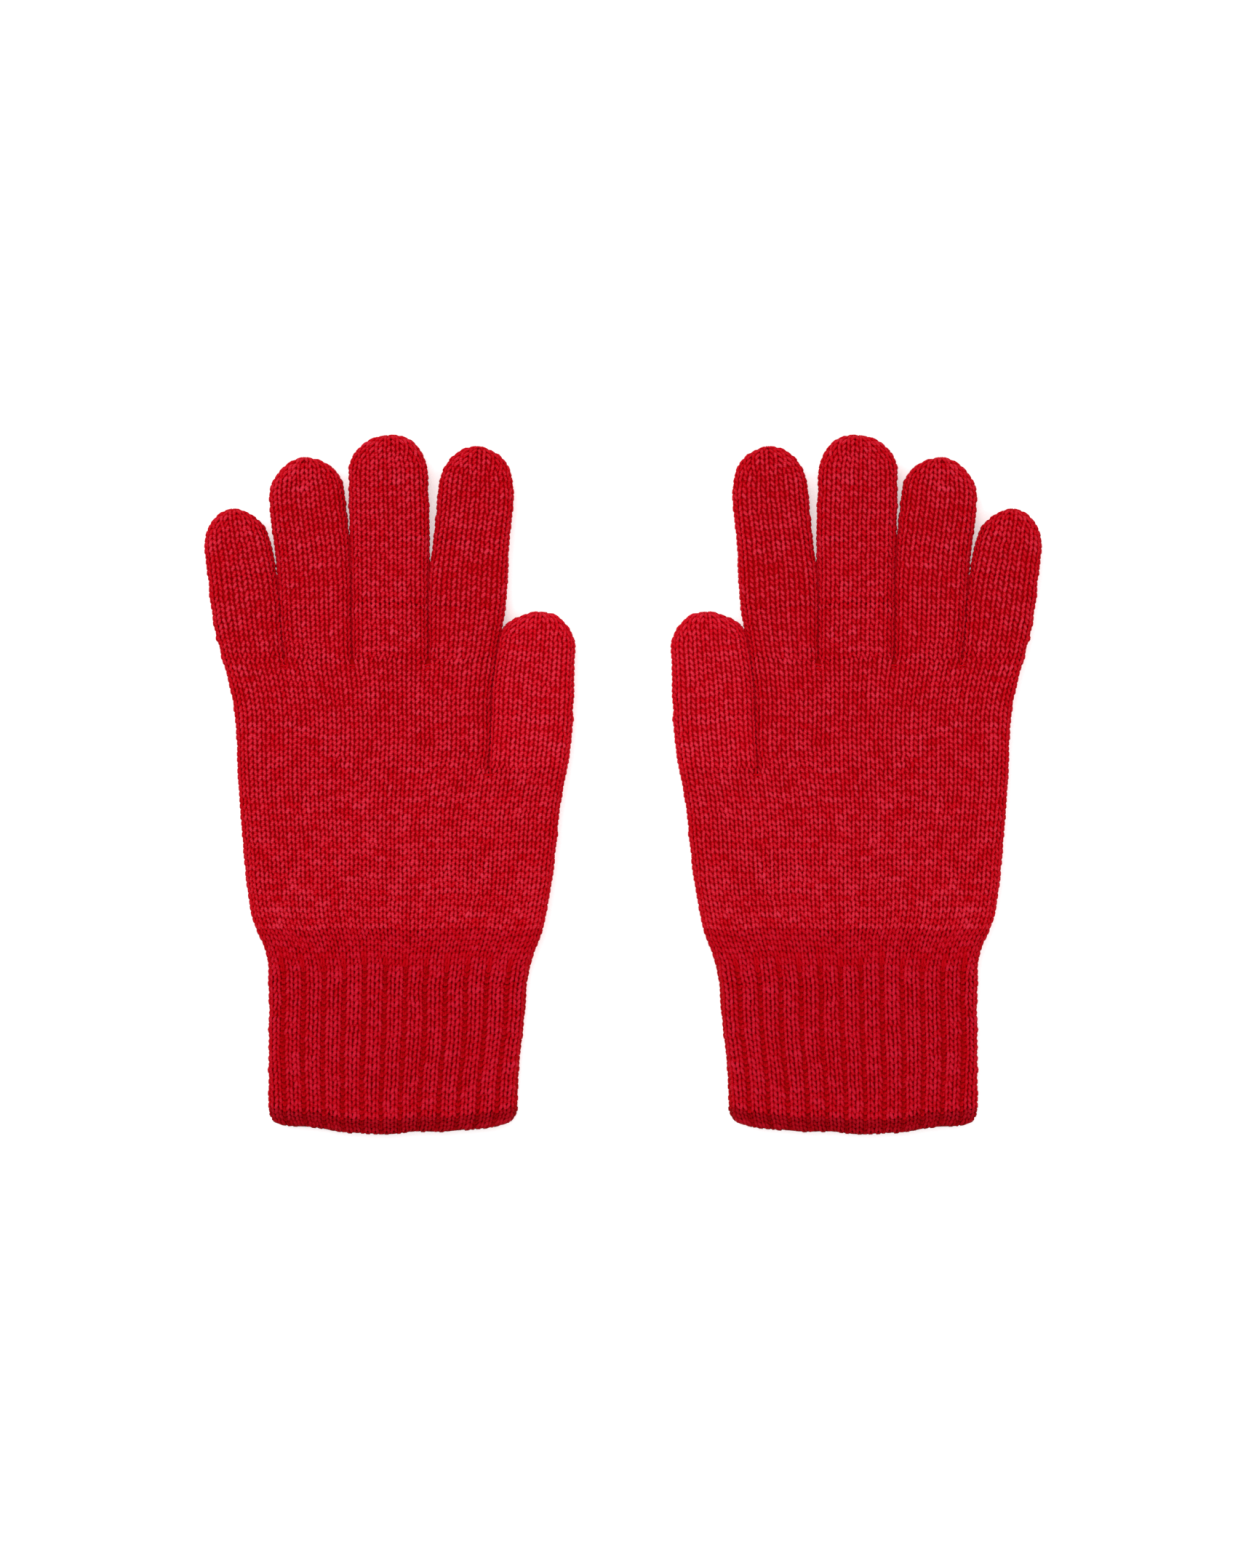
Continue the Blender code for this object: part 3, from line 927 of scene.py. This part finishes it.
@dataclass
class Hand:
    """The palm and back of the hand, from the fingers' roots to the wrist, and the ribbed cuff."""

    yarn: Yarn
    rib_yarn: Yarn
    welt_yarn: Yarn
    plain: Knit
    ribbed: Knit
    little_side: Curve = LITTLE_SIDE
    thumb_side: Curve = THUMB_SIDE
    crease: Curve = CREASE
    crotches: tuple[float, ...] = (-0.0380, -0.0138, 0.0130)
    half: float = 0.0042
    rounding: float = 0.0052
    valley: float = 0.0070
    valley_length: float = 0.0060
    palm_stitches: int = 60
    hand_stitches: int = 78
    course: float = 0.00205
    rib_course: float = 0.00217
    welt_course: float = 0.00180
    cuff_half: float = 0.0035
    mouth_half: float = 0.0024
    narrowing: tuple[float, float] = (0.012, 0.020)  # the wrist thins from above the fold, over a length
    thinning: float = 0.030  # and the cuff from below it to its mouth
    hem_bow: float = 0.0040
    corner: float = 0.0055
    gusset_length: float = 0.034  # the palm beside the thumb's root
    above_wrist: float = 0.009  # how much of the palm and of the cuff is in the wrist's piece
    below_wrist: float = 0.0105
    bend_above: float = 0.0085  # where the wrist's bend starts and ends
    bend_below: float = 0.0100
    forming: int = 3
    welt_courses: int = 3
    welt_ribbed: float = 0.8

    def rows(self, v_values: np.ndarray, upper: bool) -> np.ndarray:
        """Rows of the hand's form at values of v.

        Args:
            v_values: where the rows are.
            upper: whether they end at the thumb's crease, and not at its outer side.

        Returns:
            (rows, AROUND, 3) points.
        """
        made = []
        for v in v_values:
            left = EDGE - self.little_side.at(v)
            right = (self.crease if upper else self.thumb_side).at(v) - EDGE
            share = smooth((WRIST + self.narrowing[0] - v) / self.narrowing[1])
            mouth = smooth((WRIST - self.thinning - v) / (WRIST - self.thinning - HEM))
            half = self.half + (self.cuff_half - self.half) * share
            half += (self.mouth_half - self.cuff_half) * mouth
            low = min(max((HEM + self.corner - v) / self.corner, 0.0), 1.0)
            inset = self.corner * (1 - math.sqrt(1 - low**2)) * 0.7
            outline = Section(left + inset, right - inset, half, self.rounding, 0.0004).outline()
            row = np.column_stack([outline[:, 0], np.full(AROUND, v), outline[:, 1]])
            made.append(self.pinched(row, v, upper, half))
        rows = np.array(made)
        middle = (self.thumb_side.at(HEM) - self.little_side.at(HEM)) / 2
        reach = (self.thumb_side.at(HEM) + self.little_side.at(HEM)) / 2
        hang = smooth((WRIST - rows[..., 1]) / (WRIST - HEM))
        rows[..., 1] += hang * self.hem_bow * ((rows[..., 0] - middle) / reach) ** 2
        return Ease().apply(rows)

    def pinched(self, row: np.ndarray, v: float, upper: bool, half: float) -> np.ndarray:
        """Presses a row's two layers together next to the crotches.

        Args:
            row: the row's points.
            v: where it is.
            upper: whether it is in the upper palm.
            half: its half thickness.

        Returns:
            The row with its valleys.
        """
        spots = self.crotches if upper else (THUMB_CROTCH[0],)
        top = FINGER_ROOTS if upper else THUMB_CROTCH[1]
        near = smooth((v - top + self.valley_length) / self.valley_length)
        if near <= 0:
            return row
        lift = np.ones(len(row))
        for spot in spots:
            edge = np.clip(1 - np.abs(row[:, 0] - spot) / self.valley, 0, 1)
            lift = np.minimum(lift, np.sqrt(1 - edge**2))
        middle = half + SKIN
        pressed = row.copy()
        pressed[:, 2] = middle + (row[:, 2] - middle) * (1 - near * (1 - lift))
        return pressed

    def band(self, name: str, top: float, low: float, course: float, upper: bool) -> tuple[Form, int]:
        """A form for a stretch of the hand, from top down to low."""
        courses = round((top - low) / course)
        LOG.info("%s: %d courses", name, courses)
        step = (top - low) / courses
        stations = np.linspace(top + step, low - step, (courses + 2) * ROWS_PER_COURSE + 1)
        return Form(self.rows(stations, upper), lead=1), courses

    def pieces(self) -> list[Piece]:
        """The upper palm, the thumb's root with the palm beside it, the palm, the wrist, cuff and welt.

        Returns:
            The pieces, from the fingers' roots to the mouth.
        """
        form, courses = self.band("upper palm", FINGER_ROOTS, THUMB_CROTCH[1], self.course, True)
        data = self.plain.lay(form, range(courses), WaleCount(self.palm_stitches), 11)
        made = [Piece("upper_palm", data, self.yarn, ("upper_palm",), body="hand")]

        wales = WaleCount(self.hand_stitches)
        form, courses = self.band("lower palm", THUMB_CROTCH[1], WRIST, self.course, False)
        bend = fold_bend("thumb_root_fold", "hand", "thumb_base")
        gusset = round(self.gusset_length / self.course)
        wrist = courses - round(self.above_wrist / self.course)
        data = self.plain.lay(form, range(gusset), wales, 12)
        made.append(Piece("thumb_gusset", data, self.yarn, ("lower_palm",), body="hand", bend=bend))
        data = self.plain.lay(form, range(gusset, wrist), wales, 13)
        made.append(Piece("lower_palm", data, self.yarn, ("lower_palm",), body="hand"))

        data = self.plain.lay(form, range(wrist, courses), wales, 14)
        welt_top = HEM + self.welt_courses * self.welt_course
        form, courses = self.band("cuff", WRIST, welt_top, self.rib_course, False)
        fold = round(self.below_wrist / self.rib_course)
        self.ribbed.lay(form, range(fold), wales, 15, data, forming=self.forming)
        bend = Bend("hand", "cuff", (0.0, WRIST + self.bend_above), (0.0, WRIST - self.bend_below))
        made.append(Piece("wrist", data, self.rib_yarn, ("cuff", "lower_palm"), bend=bend))
        data = self.ribbed.lay(form, range(fold, courses), wales, 16)
        made.append(Piece("cuff", data, self.rib_yarn, ("cuff",), body="cuff"))
        form, courses = self.band("welt", welt_top, HEM + SKIN * 0.6, self.welt_course, False)
        data = self.ribbed.lay(form, range(courses), wales, 17, ribbed=self.welt_ribbed)
        made.append(Piece("cuff_welt", data, self.welt_yarn, ("cuff_welt",), body="cuff"))
        return made


@dataclass
class ForkStitches:
    """A few tight strands that close the hole at each crotch."""

    yarn: Yarn
    spots: dict[str, tuple[float, float]]
    strands: int = 3
    span: float = 0.0052
    pitch: float = 0.0013
    drop: float = 0.0022
    radius: float = 0.00062
    height: float = 0.0086
    tilt: float = 0.16
    shift: float = 0.0003
    taper: float = 0.12  # how much shorter each strand is than the one above
    dip: float = 0.0022  # how far its ends go into the fabric
    steps: int = 12
    sides: int = 6

    def pieces(self) -> list[Piece]:
        """One piece for each crotch."""
        return [self.fork(name, spot) for name, spot in self.spots.items()]

    def fork(self, name: str, spot: tuple[float, float]) -> Piece:
        """The strands at one crotch.

        Args:
            name: the crotch's name.
            spot: where it is.

        Returns:
            The piece.
        """
        luck = np.random.default_rng(hash_of(name))
        data = MeshData()
        for strand in range(self.strands):
            tilt, shift = luck.normal(0, self.tilt), luck.normal(0, self.shift)
            t = np.arange(self.steps) / self.steps * math.tau
            # each strand is a flat closed loop, dipping into the fabric at both its ends
            across = self.span / 2 * np.cos(t) * (1 - self.taper * strand)
            deep = self.radius * 0.9 * np.sin(t) - self.dip * (across / (self.span / 2)) ** 2
            v = spot[1] - self.drop - strand * self.pitch + across * tilt + shift
            middle = np.column_stack([spot[0] + across, np.broadcast_to(v, t.shape), self.height + deep])
            aside = np.array([[0.0, 1.0, 0.0]])
            outward = unit(np.cross(aside, tangents(middle)))
            angle = (math.tau * np.arange(self.sides) / self.sides)[None, :, None]
            spread = np.cos(angle) * aside[:, None] + np.sin(angle) * outward[:, None]
            ring = middle[:, None] + self.radius * spread
            length = np.arange(self.steps + 1) * self.span / self.steps * 2
            data.add(ring, length, np.full(ring.size // 3, 0.55))
        node = f"fork_stitches_{name}"
        return Piece(node, data, self.yarn, (node,), body="hand")


# For each finger tube the length of its round tip, its stitches, and its sides as FingerTube has them
TUBE_SIZES = {
    "little": (0.0130, 16, (0, 0.0108, 0.0114), (0.3, 0.0122, 0.0127), (0.6, 0.0123, 0.0122), (0.8, 0.0120, 0.0116)),
    "ring": (0.0135, 18, (0, 0.0124, 0.0123), (0.25, 0.0130, 0.0134), (0.55, 0.0132, 0.0141), (0.8, 0.0135, 0.0133)),
    "middle": (0.0140, 20, (0, 0.0139, 0.0138), (0.25, 0.014, 0.014), (0.45, 0.0142, 0.0144), (0.75, 0.0145, 0.0138)),
    "index": (0.0180, 18, (0, 0.0135, 0.0115), (0.3, 0.0148, 0.0137), (0.55, 0.0139, 0.0132), (0.75, 0.0136, 0.0136)),
    "thumb": (0.0135, 20, (0, 0.0148, 0.0142), (0.3, 0.0148, 0.0147), (0.6, 0.0151, 0.0141), (0.75, 0.0144, 0.0138)),
}


@dataclass
class GlovePair:
    """Both gloves."""

    finger_yarn: Yarn = Yarn("finger_yarn", "finger_knit")
    palm_yarn: Yarn = Yarn("palm_yarn", "palm_knit")
    # painted light: the thumb's yarn is a lighter copy of the other yarn, so the thumb's side of the glove looks more
    # brightly lit
    thumb_yarn: Yarn = Yarn(
        "thumb_yarn", "thumb_knit", (0.740, 0.036, 0.074), (0.580, 0.001, 0.008), (0.370, 0.0, 0.0)
    )
    rib_yarn: Yarn = Yarn(
        "rib_yarn", "cuff_rib", (0.600, 0.012, 0.036), (0.470, 0.0, 0.004), (0.280, 0.0, 0.0)
    )
    # painted shade: the welt's yarn is a darker copy, so the rolled welt at the mouth looks shaded where it curls
    # under
    welt_yarn: Yarn = Yarn(
        "welt_yarn", "cuff_welt", (0.420, 0.005, 0.016), (0.310, 0.0, 0.003), (0.160, 0.0, 0.0)
    )
    fork_yarn: Yarn = Yarn("fork_yarn", "fork_stitches")
    knuckle_fold: float = 0.0070  # from a finger's root to its knuckle
    thumb_fold: float = 0.0066
    finger_knit: Knit = Knit(Loop())
    palm_knit: Knit = Knit(Loop())
    rib_knit: Knit = Knit(Loop(bulge=0.20, leg=0.00066, back=0.00050, segments=9), Rib.TWO_BY_ONE)

    def fingers(self) -> list[FingerTube]:
        """The four fingers and the thumb."""
        made = []
        for name, (tip, stitches, *sides) in TUBE_SIZES.items():
            yarn, parts, first_fold = self.finger_yarn, ("base", "middle", "end"), self.knuckle_fold
            folds = ("knuckle", "middle_fold", "end_fold")
            if name == "thumb":
                yarn, parts, first_fold = self.thumb_yarn, ("base", "end"), self.thumb_fold
                folds = ("root_fold", "end_fold")
            segments = tuple(f"{name}_{part}" for part in parts)
            made.append(
                FingerTube(name, tuple(sides), tip, stitches, yarn, self.finger_knit, folds, segments, first_fold)
            )
        return made

    def build(self) -> None:
        """Knits one glove's pieces and makes them for both sides."""
        yarns = [self.finger_yarn, self.palm_yarn, self.thumb_yarn, self.rib_yarn, self.welt_yarn]
        materials = {yarn.name: yarn.material() for yarn in yarns + [self.fork_yarn]}
        hand = Hand(self.palm_yarn, self.rib_yarn, self.welt_yarn, self.palm_knit, self.rib_knit)
        pieces = hand.pieces()
        for finger in self.fingers():
            pieces += finger.pieces()
        names = ("little_ring", "ring_middle", "middle_index")
        spots = {name: (u, FINGER_ROOTS) for name, u in zip(names, hand.crotches)}
        spots["thumb"] = THUMB_CROTCH
        pieces += ForkStitches(self.fork_yarn, spots).pieces()
        for side in Side:
            for piece in pieces:
                piece.make(side, materials)


@dataclass
class Studio:
    """A white table under broad soft lights, seen from straight above."""

    frame_width: float = 0.4482  # what the view takes in
    frame_height: float = 0.5606
    centre: tuple[float, float] = (0.0014, 0.0)
    distance: float = 1.6
    lens: float = 90.0
    sensor: float = 36.0
    table: float = 6.0
    white: Colour = (0.86, 0.86, 0.86)
    glow: float = 0.40  # the table is faintly lit from within, which softens the shadows on it

    def build(self) -> None:
        """Makes the table, the lights and the camera."""
        self.make_table()
        self.make_light("key", (-0.7, 0.9, 1.5), 1.6, 20.0)
        self.make_light("fill", (0.9, -0.8, 1.4), 1.6, 9.0)
        self.make_light("top", (0.0, 0.0, 2.0), 2.0, 9.0)
        world = bpy.data.worlds.new("studio")
        world.use_nodes = True
        backdrop = world.node_tree.nodes["Background"]
        backdrop.inputs["Color"].default_value = (1, 1, 1, 1)
        backdrop.inputs["Strength"].default_value = 0.5
        bpy.context.scene.world = world
        bpy.context.scene.view_settings.view_transform = "Standard"
        self.make_camera()

    def make_table(self) -> None:
        """A plain white surface with its top at z = 0."""
        shape = bmesh.new()
        bmesh.ops.create_grid(shape, x_segments=1, y_segments=1, size=self.table / 2)
        mesh = bpy.data.meshes.new("table")
        shape.to_mesh(mesh)
        shape.free()
        made = bpy.data.objects.new("table", mesh)
        bpy.context.scene.collection.objects.link(made)
        looks = {"Base Color": self.white, "Roughness": 0.9}
        looks |= {"Emission Color": (1, 1, 1), "Emission Strength": self.glow}
        mesh.materials.append(Board("table_white").finish(looks))

    def make_light(self, name: str, place: tuple[float, float, float], size: float, power: float) -> None:
        """A square soft light that points at the middle of the pair."""
        light = bpy.data.lights.new(name, "AREA")
        light.size, light.energy = size, power
        made = bpy.data.objects.new(name, light)
        made.location = place
        made.rotation_euler = (-Vector(place)).to_track_quat("-Z", "Y").to_euler()
        bpy.context.scene.collection.objects.link(made)

    def make_camera(self) -> None:
        """The camera, straight above, with the whole frame just filled."""
        lens = bpy.data.cameras.new("camera")
        lens.sensor_width = self.sensor
        lens.lens = self.sensor * self.distance / self.frame_height
        made = bpy.data.objects.new("camera", lens)
        made.location = (*self.centre, self.distance + 0.006)
        bpy.context.scene.collection.objects.link(made)
        bpy.context.scene.camera = made


def main() -> None:
    """Builds the gloves and the studio."""
    GlovePair().build()
    Studio().build()


if __name__ == "__main__":
    main()
